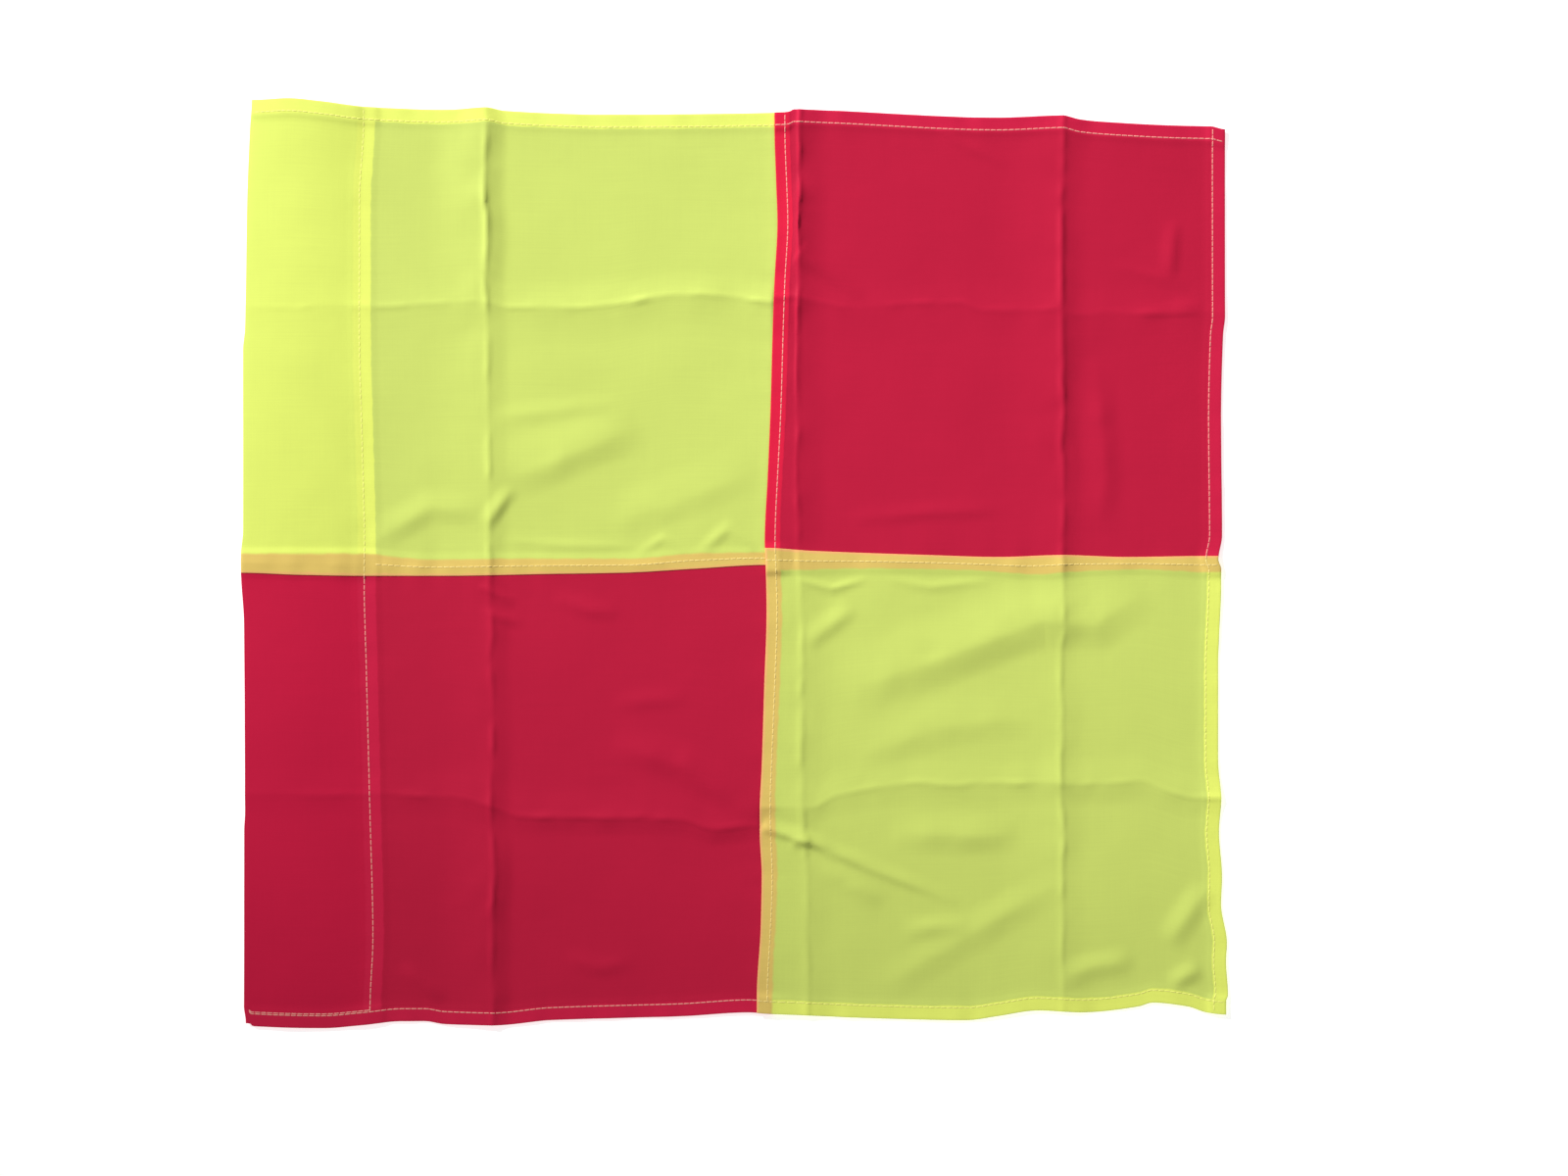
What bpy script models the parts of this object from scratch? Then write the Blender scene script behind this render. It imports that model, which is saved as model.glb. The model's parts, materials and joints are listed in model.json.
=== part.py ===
"""A quartered cloth flag with a pole sleeve, lying face up on z = 0.

X runs from the hoist (the sleeve) to the fly (the free end), Y up the flag and Z out of its face.
Four panels are sewn into two columns: each yellow panel laps over the red one of its column, and
the fly column laps over the hoist column. The outer edges are turned hems, and the hoist edge is
turned back into a sleeve that is open at the top and sewn shut at the bottom. The cloth folds up
along three upright creases, so it is made in four strips, each as high above its neighbour's
hinge as the stack that it folds over.
"""

import math

import bmesh
import bpy

# Driving dimensions, in metres.
WIDTH = 0.500  # from the sleeve's fold to the fly edge
HOIST_HEIGHT = 0.471  # along the sleeve
FLY_HEIGHT = 0.451  # along the fly edge
FLY_DROP = 0.004  # the fly edge's middle below the sleeve's middle
CLOTH = 0.0005  # one layer, with its loft
GAP = 0.0003  # between neighbouring pieces
HEM_WIDTH = 0.007
SEAM_FROM_FOLD = 0.2665  # the long seam's folded edge, from the sleeve's fold
SEAM_LAP = 0.0075  # fly column over hoist column
CROSS_LAP = 0.0095  # yellow panel over red panel
RISER = 0.002  # where a lapping panel steps up onto the one below
SLEEVE_FLAT = 0.0635  # the sleeve's flat width, from its fold to its seam
SLEEVE_HEIGHT = 0.0056  # the sleeve as it lies, slightly open
SLEEVE_TURNING = 0.0055  # the sleeve's turned edge beyond its seam
SLEEVE_SHUT = 0.014  # the flat end where the sleeve is sewn shut
SLEEVE_RISE = 0.035  # from the shut end to full height
HOIST_CREASE = 0.1255  # the three creases, from the sleeve's fold
FLY_CREASE = 0.285
END_CREASE = 0.418
ROW_INSET = 0.006  # a hem's row of stitches from the edge
SEAM_ROW_INSET = 0.005  # a seam's row from its folded edge
THREAD_WIDTH = 0.0008
THREAD_HEIGHT = 0.0003
DOUBLE_ROW = 0.0018  # between the two rows that shut the sleeve
ROW_START = 0.002  # the first stitch of a row across the sleeve, from its fold
ROW_STOP = 0.0012  # the last stitch of the sleeve's row, from its open end
FOLD_CLEARANCE = 0.0004  # between the layers of the folded flag
FOLD_SPRING = math.radians(0.5)  # how far short of flat each fold stops
ARCH_CLEARANCE = 2 * THREAD_WIDTH  # from the sleeve's arch to the middle of its row
ARC_STEPS = 18  # sides of the sleeve's arched layer
ARC_BLUNTNESS = 0.5  # the arch's power of a sine: 1 is an ellipse, and less is flatter on top
RISE_STEPS = 5  # sections of the sleeve between its shut end and its full height
SMOOTH_BELOW = math.radians(40)  # edges turned by less are shaded smooth
AXIS_SIZE = 0.02  # how large a crease's empty is drawn

# Heights that follow. A folded strip's far edge stands higher, because its fold stops short of flat.
STACK = 2 * CLOTH + GAP  # the top of a lap, a hem or a turned edge
ROW_LOW = STACK + GAP
ROW_TOP = ROW_LOW + THREAD_HEIGHT
END_AXIS = ROW_TOP + FOLD_CLEARANCE / 2
HOIST_AXIS = (SLEEVE_HEIGHT + ROW_TOP + FOLD_CLEARANCE) / 2
FAR_EDGES = (HOIST_CREASE + WIDTH - END_CREASE) * math.sin(FOLD_SPRING)
FLY_AXIS = HOIST_AXIS + END_AXIS + (FOLD_CLEARANCE + FAR_EDGES) / 2

# Places across the flag.
LEFT, RIGHT = -WIDTH / 2, WIDTH / 2
SEAM = LEFT + SEAM_FROM_FOLD
SEAM_END = SEAM + SEAM_LAP
SLEEVE_SEAM = LEFT + SLEEVE_FLAT
SLEEVE_END = SLEEVE_SEAM + SLEEVE_TURNING
CREASES = [LEFT + HOIST_CREASE, LEFT + FLY_CREASE, LEFT + END_CREASE]
LAP = CROSS_LAP / 2

HOIST_FOLD = (CREASES[0], 0.0, HOIST_AXIS)
FLY_FOLD = (CREASES[1], 0.0, FLY_AXIS)
END_FOLD = (CREASES[2], 0.0, END_AXIS)
MIDDLE = (0.0, 0.0, 0.0)


def top_edge(x):
    share = (x - LEFT) / WIDTH
    return (1 - share) * HOIST_HEIGHT / 2 + share * (FLY_HEIGHT / 2 - FLY_DROP)


def bottom_edge(x):
    share = (x - LEFT) / WIDTH
    return -(1 - share) * HOIST_HEIGHT / 2 - share * (FLY_HEIGHT / 2 + FLY_DROP)


def top_hem(x):
    return top_edge(x) - HEM_WIDTH


def bottom_hem(x):
    return bottom_edge(x) + HEM_WIDTH


def material(name, colour, roughness):
    made = bpy.data.materials.new(name)
    made.use_nodes = True
    shader = made.node_tree.nodes["Principled BSDF"]
    shader.inputs["Base Color"].default_value = (*colour, 1.0)
    shader.inputs["Roughness"].default_value = roughness
    shader.inputs["Metallic"].default_value = 0.0
    return made


def joint_axis(name, place, parent=None):
    """An empty on a crease, which carries what turns about it."""
    axis = bpy.data.objects.new(name, None)
    bpy.context.scene.collection.objects.link(axis)
    axis.empty_display_size = AXIS_SIZE
    axis.location = place
    if parent:
        axis.parent = parent[0]
        axis.location = [a - b for a, b in zip(place, parent[1])]
    return axis


def placed(name, mesh, strip):
    """An object whose origin is on its strip's own crease."""
    made = bpy.data.objects.new(name, mesh)
    bpy.context.scene.collection.objects.link(made)
    made.parent = strip["axis"]
    return made


def at(y, x):
    """The value at x of a Y line, which is a number or a function of x."""
    return y(x) if callable(y) else y


def slab(x_low, x_high, y_one, y_other, z_low, z_high):
    return {"x": (x_low, x_high), "y": (y_one, y_other), "z": (z_low, z_high)}


def filled_cells(slabs, lines):
    """The cells of the grid of lines that lie inside any of the slabs."""
    filled = set()
    for one in slabs:
        spans = [sorted(lines[way].index(end) for end in one[way]) for way in "xyz"]
        for i in range(*spans[0]):
            for j in range(*spans[1]):
                filled.update((i, j, k) for k in range(*spans[2]))
    return filled


def sewn(name, finish, strip, slabs):
    """One closed piece of cloth or thread, made of slabs that share faces."""
    middle_x = sum(slabs[0]["x"]) / 2
    lines = {way: list({end for one in slabs for end in one[way]}) for way in "xyz"}
    for way in "xyz":
        lines[way].sort(key=lambda line: at(line, middle_x))
    filled = filled_cells(slabs, lines)
    form = bmesh.new()
    corners = {}

    def corner(i, j, k):
        if (i, j, k) not in corners:
            x = lines["x"][i]
            place = (x, at(lines["y"][j], x), lines["z"][k])
            corners[i, j, k] = form.verts.new([c - o for c, o in zip(place, strip["place"])])
        return corners[i, j, k]

    for cell in filled:
        for way in range(3):
            for step in (0, 1):
                beside = list(cell)
                beside[way] += 2 * step - 1
                if tuple(beside) in filled:
                    continue
                side = []
                for u, v in ((0, 0), (1, 0), (1, 1), (0, 1)):
                    place = list(cell)
                    place[way] += step
                    place[(way + 1) % 3] += u
                    place[(way + 2) % 3] += v
                    side.append(corner(*place))
                form.faces.new(side if step else side[::-1])
    mesh = bpy.data.meshes.new(name)
    form.to_mesh(mesh)
    form.free()
    mesh.materials.append(finish)
    return placed(name, mesh, strip)


def yellow_slabs(x_low, x_high, side):
    """A yellow panel: plate, outer hem, and a lip that steps up over the red panel."""
    edge, hem = (top_edge, top_hem) if side > 0 else (bottom_edge, bottom_hem)
    near = side * (LAP + GAP)
    return [
        slab(x_low, x_high, near, edge, 0.0, CLOTH),
        slab(x_low, x_high, hem, edge, 0.0, STACK),
        slab(x_low, x_high, near, near + side * RISER, 0.0, STACK),
        slab(x_low, x_high, -side * LAP, near, CLOTH + GAP, STACK),
    ]


def red_slabs(x_low, x_high, side):
    """A red panel: plate, with its raw edge under the yellow lip, and outer hem."""
    edge, hem = (top_edge, top_hem) if side > 0 else (bottom_edge, bottom_hem)
    return [
        slab(x_low, x_high, -side * LAP, edge, 0.0, CLOTH),
        slab(x_low, x_high, hem, edge, 0.0, STACK),
    ]


def fly_hem(side):
    """The turned hem on one panel's free end."""
    edge = top_edge if side > 0 else bottom_edge
    return slab(RIGHT - HEM_WIDTH, RIGHT, side * (LAP + GAP), edge, 0.0, STACK)


def make_panels(yellow, red, strips):
    hoist, middle, fly, end = strips
    half = GAP / 2
    spans = {
        "hoist": (SLEEVE_END + GAP, CREASES[0] - half),
        "fly": (CREASES[1] + half, CREASES[2] - half),
        "end": (CREASES[2] + half, RIGHT),
    }
    sewn("yellow_upper_hoist_panel", yellow, hoist, yellow_slabs(*spans["hoist"], 1))
    sewn("red_lower_hoist_panel", red, hoist, red_slabs(*spans["hoist"], -1))
    sewn("red_upper_fly_panel", red, fly, red_slabs(*spans["fly"], 1))
    sewn("yellow_lower_fly_panel", yellow, fly, yellow_slabs(*spans["fly"], -1))
    sewn("red_upper_end_panel", red, end, red_slabs(*spans["end"], 1) + [fly_hem(1)])
    sewn("yellow_lower_end_panel", yellow, end, yellow_slabs(*spans["end"], -1) + [fly_hem(-1)])
    make_seam_panels(yellow, red, middle)


def make_seam_panels(yellow, red, strip):
    """The four pieces that meet at the crossing of the seams, where only two layers are left."""
    start, stop = CREASES[0] + GAP / 2, CREASES[1] - GAP / 2
    before = SEAM - GAP  # where the hoist column goes under the fly column
    over = SEAM_END + GAP  # where the fly column steps up
    near = LAP + GAP
    under_upper = slab(before, SEAM_END, near, top_edge, 0.0, CLOTH)
    under_crossing = slab(SEAM, SEAM_END, -LAP, near, 0.0, CLOTH)
    under_lower = slab(before, SEAM_END, bottom_edge, -near, 0.0, CLOTH)
    upper_step = slab(over, over + RISER, near, top_edge, 0.0, STACK)
    upper_lip = slab(SEAM, over, near, top_edge, CLOTH + GAP, STACK)
    lower_step = slab(over, over + RISER, bottom_edge, -near, 0.0, STACK)
    lower_lip = slab(SEAM, over, bottom_edge, LAP, CLOTH + GAP, STACK)
    sewn("yellow_upper_middle_panel", yellow, strip,
         yellow_slabs(start, before, 1) + [under_upper, under_crossing])
    sewn("red_lower_middle_panel", red, strip, red_slabs(start, before, -1) + [under_lower])
    sewn("red_upper_seam_panel", red, strip, red_slabs(over, stop, 1) + [upper_step, upper_lip])
    sewn("yellow_lower_seam_panel", yellow, strip,
         yellow_slabs(over, stop, -1) + [lower_step, lower_lip])


def sleeve_section(y, height, hollow):
    """Outer and inner outlines of the sleeve at y, which may be a function of x."""
    right = SLEEVE_SEAM - ARCH_CLEARANCE
    centre, reach = (LEFT + right) / 2, (right - LEFT) / 2
    outer, inner = [], []
    for i in range(ARC_STEPS + 1):
        turn = math.pi * (1 - i / ARC_STEPS)
        across = math.copysign(abs(math.cos(turn)) ** ARC_BLUNTNESS, math.cos(turn))
        rise = abs(math.sin(turn)) ** ARC_BLUNTNESS if 0 < i < ARC_STEPS else 0.0
        floor = STACK if across > 0 else 0.0
        outer.append((centre + across * reach, max(rise * height, floor)))
        inner_reach = reach - 2 * CLOTH
        inner.append((centre + across * inner_reach, CLOTH + rise * (height - 2 * CLOTH)))
    outer += [(SLEEVE_END, STACK), (SLEEVE_END, 0.0), (right, 0.0)]

    def at_y(points):
        return [(x, at(y, x), z) for x, z in points]

    return at_y(outer), at_y(inner) if hollow else None


def make_sleeve(name, finish, strip, sections):
    """A sleeve through its sections. It is open at the last one, and at the first if that is hollow."""
    form = bmesh.new()
    origin = strip["place"]

    def loop(points):
        return [form.verts.new([c - o for c, o in zip(p, origin)]) for p in points]

    def walls(loops):
        for here, there in zip(loops, loops[1:]):
            for i in range(len(here)):
                j = (i + 1) % len(here)
                form.faces.new((here[i], here[j], there[j], there[i]))

    def rim(outer, inner):
        """The flat ring of cloth at an open end."""
        last = len(inner) - 1
        for i in range(last):
            form.faces.new((outer[i], outer[i + 1], inner[i + 1], inner[i]))
        form.faces.new((outer[last], outer[last + 3], inner[last]))
        form.faces.new((outer[last + 3], outer[0], inner[0], inner[last]))
        form.faces.new(outer[last : last + 4])

    outers = [loop(outer) for outer, _ in sections]
    inners = [loop(inner) for _, inner in sections if inner]
    walls(outers)
    walls(inners)
    rim(outers[-1], inners[-1])
    if sections[0][1]:
        rim(outers[0], inners[0])
    else:
        form.faces.new(outers[0])
        form.faces.new(inners[0])
    bmesh.ops.recalc_face_normals(form, faces=form.faces)
    mesh = bpy.data.meshes.new(name)
    form.to_mesh(mesh)
    form.free()
    mesh.materials.append(finish)
    mesh.shade_smooth()
    mesh.set_sharp_from_angle(angle=SMOOTH_BELOW)
    placed(name, mesh, strip)


def make_sleeves(yellow, red, strip):
    upper = [sleeve_section(y, SLEEVE_HEIGHT, True) for y in (-LAP, top_edge)]
    make_sleeve("yellow_pole_sleeve", yellow, strip, upper)
    shut = -HOIST_HEIGHT / 2 + SLEEVE_SHUT
    lower = [sleeve_section(y, STACK, False) for y in (bottom_edge, shut)]
    for i in range(1, RISE_STEPS + 1):
        ease = math.sin(math.pi / 2 * i / RISE_STEPS)
        height = STACK + (SLEEVE_HEIGHT - STACK) * ease
        lower.append(sleeve_section(shut + SLEEVE_RISE * i / RISE_STEPS, height, True))
    lower.append(sleeve_section(-LAP - GAP, SLEEVE_HEIGHT, True))
    make_sleeve("red_pole_sleeve", red, strip, lower)


def row_across(name, finish, strip, x_low, x_high, y):
    """A row of stitches along the flag, centred on y, which may be a function of x."""
    half = THREAD_WIDTH / 2

    def lower(x):
        return at(y, x) - half

    def upper(x):
        return at(y, x) + half

    sewn(name, finish, strip, [slab(x_low, x_high, lower, upper, ROW_LOW, ROW_TOP)])


def row_upright(name, finish, strip, x, y_low, y_high):
    half = THREAD_WIDTH / 2
    sewn(name, finish, strip, [slab(x - half, x + half, y_low, y_high, ROW_LOW, ROW_TOP)])


def make_rows(thread, strips):
    hoist, middle, fly, end = strips
    half = GAP / 2
    clear = THREAD_WIDTH / 2 + GAP  # from a row's middle to the end of a row that stops at it
    crossing = 2 * clear  # the same where the row is drawn on a slope
    seam_row = SEAM + SEAM_ROW_INSET
    fly_row = RIGHT - ROW_INSET
    first, second, third = CREASES

    def top_row(x):
        return top_edge(x) - ROW_INSET

    def bottom_row(x):
        return bottom_edge(x) + ROW_INSET

    def shut_row(x):
        return bottom_row(x) + DOUBLE_ROW

    for name, strip, low, high in (
        ("hoist", hoist, SLEEVE_SEAM + clear, first - half),
        ("middle", middle, first + half, second - half),
        ("fly", fly, second + half, third - half),
        ("end", end, third + half, RIGHT - GAP),
    ):
        row_across(f"top_hem_thread_{name}", thread, strip, low, high, top_row)
        low = LEFT + ROW_START if strip is hoist else low
        row_across(f"bottom_hem_thread_{name}", thread, strip, low, high, bottom_row)
    row_across("sleeve_shut_thread", thread, hoist,
               LEFT + ROW_START, SLEEVE_SEAM - clear, shut_row)
    row_upright("sleeve_seam_thread", thread, hoist, SLEEVE_SEAM,
                bottom_row(SLEEVE_SEAM) + crossing, top_edge(SLEEVE_SEAM) - ROW_STOP)
    row_upright("long_seam_thread", thread, middle, seam_row,
                bottom_row(seam_row) + crossing, top_row(seam_row) - crossing)
    row_upright("fly_hem_thread", thread, end, fly_row,
                bottom_row(fly_row) + crossing, top_row(fly_row) - crossing)
    left_y, right_y = SEAM_ROW_INSET - LAP, LAP - SEAM_ROW_INSET
    for name, strip, low, high, y in (
        ("hoist", hoist, SLEEVE_END + GAP, first - half, left_y),
        ("middle", middle, first + half, SEAM - GAP, left_y),
        ("seam", middle, seam_row + clear, second - half, right_y),
        ("fly", fly, second + half, third - half, right_y),
        ("end", end, third + half, fly_row - clear, right_y),
    ):
        row_across(f"cross_seam_thread_{name}", thread, strip, low, high, y)


def main():
    for old in list(bpy.data.objects):
        bpy.data.objects.remove(old, do_unlink=True)
    yellow = material("yellow nylon", (0.66, 0.78, 0.16), 0.55)
    red = material("red nylon", (0.50, 0.018, 0.056), 0.55)
    thread = material("yellow thread", (0.80, 0.62, 0.14), 0.5)
    hoist_axis = joint_axis("hoist_fold_axis", HOIST_FOLD)
    fly_axis = joint_axis("fly_fold_axis", FLY_FOLD)
    end_axis = joint_axis("end_fold_axis", END_FOLD, (fly_axis, FLY_FOLD))
    strips = [
        {"axis": hoist_axis, "place": HOIST_FOLD},
        {"axis": None, "place": MIDDLE},
        {"axis": fly_axis, "place": FLY_FOLD},
        {"axis": end_axis, "place": END_FOLD},
    ]
    make_panels(yellow, red, strips)
    make_sleeves(yellow, red, strips[0])
    make_rows(thread, strips)


main()
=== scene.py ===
"""Sews the looks of a quartered signal flag, laid out flat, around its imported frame."""

import json
import math

import bpy
import numpy as np
from bpy.props import FloatProperty, FloatVectorProperty, PointerProperty
from mathutils import Matrix, Vector

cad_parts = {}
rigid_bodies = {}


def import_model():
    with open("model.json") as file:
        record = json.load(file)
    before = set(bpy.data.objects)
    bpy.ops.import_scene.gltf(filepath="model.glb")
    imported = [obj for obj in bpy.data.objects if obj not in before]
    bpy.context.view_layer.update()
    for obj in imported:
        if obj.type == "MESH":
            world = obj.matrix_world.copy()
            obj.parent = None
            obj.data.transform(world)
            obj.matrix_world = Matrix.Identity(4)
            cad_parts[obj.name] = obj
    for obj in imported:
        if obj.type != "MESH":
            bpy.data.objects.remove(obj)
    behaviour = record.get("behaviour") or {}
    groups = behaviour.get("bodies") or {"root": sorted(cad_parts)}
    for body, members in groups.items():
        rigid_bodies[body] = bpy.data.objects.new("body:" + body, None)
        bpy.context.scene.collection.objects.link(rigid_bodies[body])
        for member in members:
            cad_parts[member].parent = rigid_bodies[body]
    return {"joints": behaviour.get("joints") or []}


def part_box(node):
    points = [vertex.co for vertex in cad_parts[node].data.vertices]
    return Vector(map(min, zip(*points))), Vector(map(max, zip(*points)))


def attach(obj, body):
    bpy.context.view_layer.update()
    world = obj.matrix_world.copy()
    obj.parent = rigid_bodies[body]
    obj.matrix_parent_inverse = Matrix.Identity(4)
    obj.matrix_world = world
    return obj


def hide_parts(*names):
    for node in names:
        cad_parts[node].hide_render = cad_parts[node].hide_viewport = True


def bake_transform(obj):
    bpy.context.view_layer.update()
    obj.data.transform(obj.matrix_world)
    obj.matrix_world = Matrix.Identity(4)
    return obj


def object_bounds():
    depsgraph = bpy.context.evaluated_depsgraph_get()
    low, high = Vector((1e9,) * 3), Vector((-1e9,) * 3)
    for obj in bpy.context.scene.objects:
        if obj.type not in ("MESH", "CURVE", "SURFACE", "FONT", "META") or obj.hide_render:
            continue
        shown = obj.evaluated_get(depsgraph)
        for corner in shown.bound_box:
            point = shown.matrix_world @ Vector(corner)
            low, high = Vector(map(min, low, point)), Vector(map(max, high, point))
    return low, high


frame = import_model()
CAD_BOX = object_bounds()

bl_info = {
    "name": "Quartered Signal Flag",
    "version": (1, 0, 0),
    "blender": (4, 5, 0),
    "location": "View3D > Sidebar > Flag",
    "description": "Sews a quartered nylon flag with a pole sleeve around its frame",
    "category": "Object",
}

MM = 0.001

# ---------------------------------------------------------------- the flag's lines, from the frame


def middle_of(node, axis):
    low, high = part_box(node)
    return (low[axis] + high[axis]) / 2


LEFT, RIGHT = CAD_BOX[0].x, CAD_BOX[1].x
BOTTOM, TOP = CAD_BOX[0].y, CAD_BOX[1].y
SLEEVE_ROW = middle_of("sleeve_seam_thread", 0)
SLEEVE_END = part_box("yellow_pole_sleeve")[1].x
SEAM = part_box("red_upper_seam_panel")[0].x
SEAM_ROW = middle_of("long_seam_thread", 0)
SEAM_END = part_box("yellow_upper_middle_panel")[1].x
LAP_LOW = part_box("yellow_upper_middle_panel")[0].y
LAP_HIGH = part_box("red_lower_middle_panel")[1].y
HEM_ROW = RIGHT - middle_of("fly_hem_thread", 0)
JOINTS = {joint["name"]: joint for joint in frame["joints"]}
HOIST_CREASE, FLY_CREASE, END_CREASE = (
    JOINTS[name]["pos_m"][0] for name in ("hoist_fold", "fly_fold", "end_fold")
)
UPPER_CREASE = 0.1335
LOWER_CREASE = -0.1215
HEM = 0.007  # width of a hem
TUCK = 0.006  # raw edge turned under
STRIP = 0.009  # the sleeve's strip of three layers, up to its inner edge
STRIP_TUCK = 0.008
SPLIT = END_CREASE - 0.009  # where the fly cloths are divided, a little short of the end crease
ROW_START = 0.002  # a row's first stitch, from the sleeve's fold
ROW_END = 0.001  # a row's last stitch, from the edge
SHUT_GAP = 0.0009  # between the two rows that shut the sleeve
SEAM_GAP = 0.00025  # between the middle and the cross seam's row

# ---------------------------------------------------------------- how the laid cloth strays from straight
# Each line is a list of (place along it, how far it strays) in millimetres.

UPRIGHT_STRAYS = {
    LEFT: [(-235, 1.5), (-227, 0.5), (-140, 0.5), (-130, 1), (-32, 0.5), (-4, -1), (4, -1),
           (17, 0), (111, 0), (122, 1), (147, 1.5), (184, 2), (221, 3.5), (236, 4.5)],
    SLEEVE_ROW: [(-228, 1), (-192, 2.5), (-132, 1), (-52, -1), (-7, -2), (5, -1.8), (60, -3),
                 (125, -4.5), (185, -4.5), (230, -2.2)],
    HOIST_CREASE: [(-230, 2), (-180, 1.5), (-60, 1), (20, 0), (100, -1.5), (160, -2), (230, -1.5)],
    SEAM: [(-228, -4.5), (-189, -2.5), (-160, -2), (-136, -3), (-123, -3), (-102, -2), (-62, -0.7),
           (-25, 0.5), (-2, 0), (8, -0.5), (41, 1), (77, 2.5), (114, 3.5), (142, 4.5), (175, 6),
           (199, 5.3), (229, 4.5)],
    SEAM_END: [(-228, -4.5), (-160, -2), (-123, -3), (-62, -0.7), (-25, 0.5), (8, -0.5), (77, 2.5),
               (142, 4.5), (175, 6), (229, 4.5)],
    FLY_CREASE: [(-225, 2), (-180, 2), (-110, 0), (-60, 0), (-20, -1), (40, -2.5), (90, -3),
                 (210, -2)],
    END_CREASE: [(-190, 0), (-100, -1), (-30, -0.5), (200, -0.5)],
    RIGHT: [(-229, 0.5), (-226, 1.5), (-208, 0.5), (-199, 1), (-178, -2), (-164, -1.5), (-140, -3),
            (-123, -2), (-102, -3.5), (-52, -3.5), (-38, -3), (-11, -2), (-3, -2), (3, -3.5),
            (16, -1.5), (77, -2), (122, -1), (132, 0), (221, 0)],
}
TOP_STRAYS = [(-246, 0.5), (-230, 1), (-211, -0.5), (-187, -3), (-144, -4.5), (-124.5, -3.5),
              (-116, -5), (-88, -6.5), (-70, -7), (21, -6), (29.5, -4.5), (136, -8.5), (167.5, -7.5),
              (177, -9.5), (194.5, -11), (223, -12.5), (243, -13), (250, -14.5)]
BOTTOM_STRAYS = [(-248.5, 1.5), (-246.5, 0), (-210, -1), (-191, 0.5), (-170, 2.5), (-159, 2.5),
                 (-149, 1), (-123, 0.5), (-94.5, 3), (-24.5, 5), (12, 7), (20, 6.5), (36.5, 5.5),
                 (56.5, 4.5), (87.5, 3.5), (118, 3), (133, 5), (155, 8), (178, 7), (206, 10),
                 (213, 12), (231, 10), (240.5, 7), (250.5, 6)]
LEVEL_STRAYS = {
    "hoist": {
        LOWER_CREASE: [(-180, 4), (-143, 2.5), (-120, -3.5), (-110, -7), (-26, -8.5), (-6, -14),
                       (16, -12)],
        LAP_LOW: [(-251, 0.3), (-219, -0.8), (-186, -1.3), (-149, -1.3), (-94, -0.3), (-57, 0.3),
                  (-21, 2.3), (16, 4.3)],
        LAP_HIGH: [(-250, 0.3), (-190, 0.3), (-154, -2.8), (-106, -2.3), (-51, -2.3), (-21, 0.3),
                   (16, 0.8)],
        UPPER_CREASE: [(-186, -2.5), (-126, 0.5), (-113, -2.5), (-73, -2.5), (-33, 4), (17, 0.5)],
    },
    "fly": {
        LOWER_CREASE: [(40, -2.5), (52, 4), (90, 9), (167, 9.5), (207, 10.5), (237, 2.5)],
        LAP_LOW: [(18, 1.3), (71, 2.3), (125, 1.3), (156, -0.8), (170, 0.3), (206, 1.8), (247, 0.3)],
        LAP_HIGH: [(16, 2.8), (42, 1.3), (100, -0.8), (136, -1.8), (168, -0.8), (202, -1.8),
                   (243, -1.3)],
        UPPER_CREASE: [(30, 3), (64, -2.5), (117, -1), (126, -5), (167, -3.5), (176, -6), (240, -6)],
    },
}

# ---------------------------------------------------------------- creases and wrinkles, in millimetres
# A storage crease: its place, its height along its length, how wide its two sides are, and how
# sharp its top is, from 0 for a round one to 1.

UPRIGHT_CREASES = [
    (HOIST_CREASE, [(-235, 1.5), (-180, 1.6), (-120, 1.1), (-30, 1.0), (20, 1.2), (60, 0.8),
                    (110, 0.9), (150, 1.6), (230, 1.7)], 28, 11, 0.45),
    (FLY_CREASE, [(-235, 0.7), (-190, 0.7), (-90, 0.8), (-40, 0.9), (0, 0.9), (40, 1.3), (60, 0.9),
                  (100, 1.1), (140, 1.7), (230, 1.7)], 26, 16, 0.8),
    (END_CREASE, [(-235, 0.7), (-180, 0.8), (-140, 0.9), (-40, 0.7), (0, 0.8), (60, 1.2),
                  (160, 1.4), (230, 1.4)], 34, 14, 1.0),
]
LEVEL_CREASES = [
    (UPPER_CREASE, [(-250, 0.2), (-190, 0.4), (-150, 0.6), (-120, 0.5), (-80, 1.2), (16, 1.2),
                    (30, 0.6), (140, 0.5), (250, 0.5)], 16, 22, 0.8),
    (LOWER_CREASE, [(-250, 0.3), (-180, 0.6), (-120, 0.8), (-70, 1.0), (0, 0.9), (40, 0.6),
                    (250, 0.8)], 16, 12, 0.6),
]

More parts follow.
